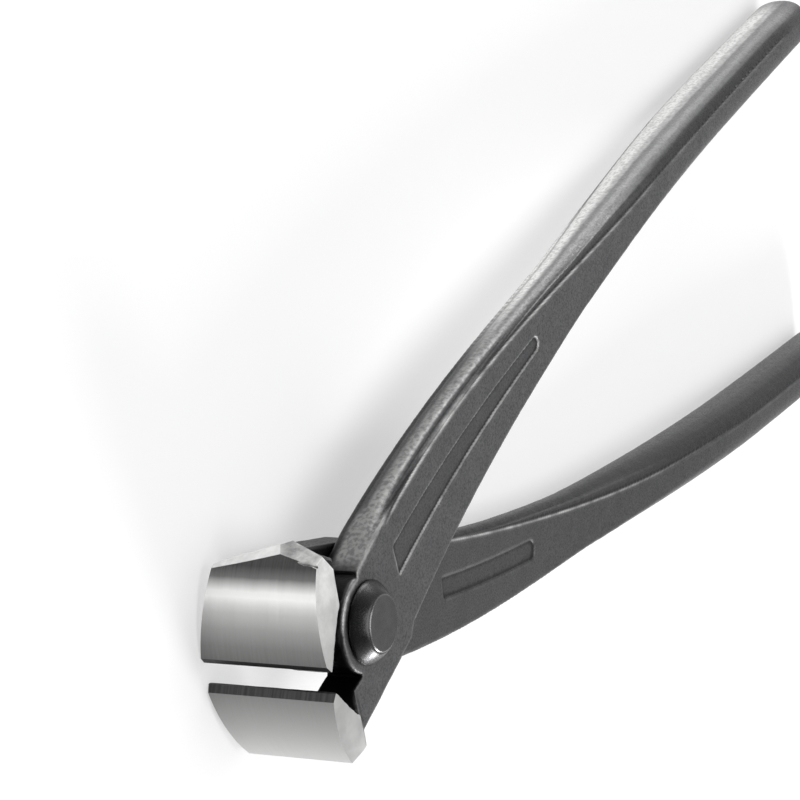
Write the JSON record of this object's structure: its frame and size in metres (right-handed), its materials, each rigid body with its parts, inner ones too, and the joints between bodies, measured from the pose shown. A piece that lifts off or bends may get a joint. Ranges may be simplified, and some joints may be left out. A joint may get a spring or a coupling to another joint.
{
  "type": "concreters nippers",
  "caption": "Long-handled concreters nippers: forged steel levers lapped on a domed rivet, each with a bowed handle and a wide ground cutting jaw square to the handles.",
  "frame": {"origin": "centre of the flat on the rear head of the pivot rivet", "axes": "+Z along the pivot from the rear lever to the front lever, +X along the tool from the cutting edges to the ends of the handles, +Y towards the front lever's handle"},
  "size_m": [0.2963, 0.1044, 0.0251],
  "materials": {
    "phosphated_steel": "dark grey phosphated forging, ground bright on the outer faces, ends and heels of the jaws",
    "rivet_steel": "dark oiled steel, worn bright round the rim of the flat"
  },
  "bodies": {
    "rear": {"rear_lever": "phosphated_steel", "pivot_rivet": "rivet_steel"},
    "front": {"front_lever": "phosphated_steel"}
  },
  "joints": [
    {"name": "pivot", "type": "hinge", "parent": "rear", "child": "front", "pos_m": [0, 0, 0.01055], "axis": [0, 0, 1], "range_deg": [-9.8, 30]}
  ]
}
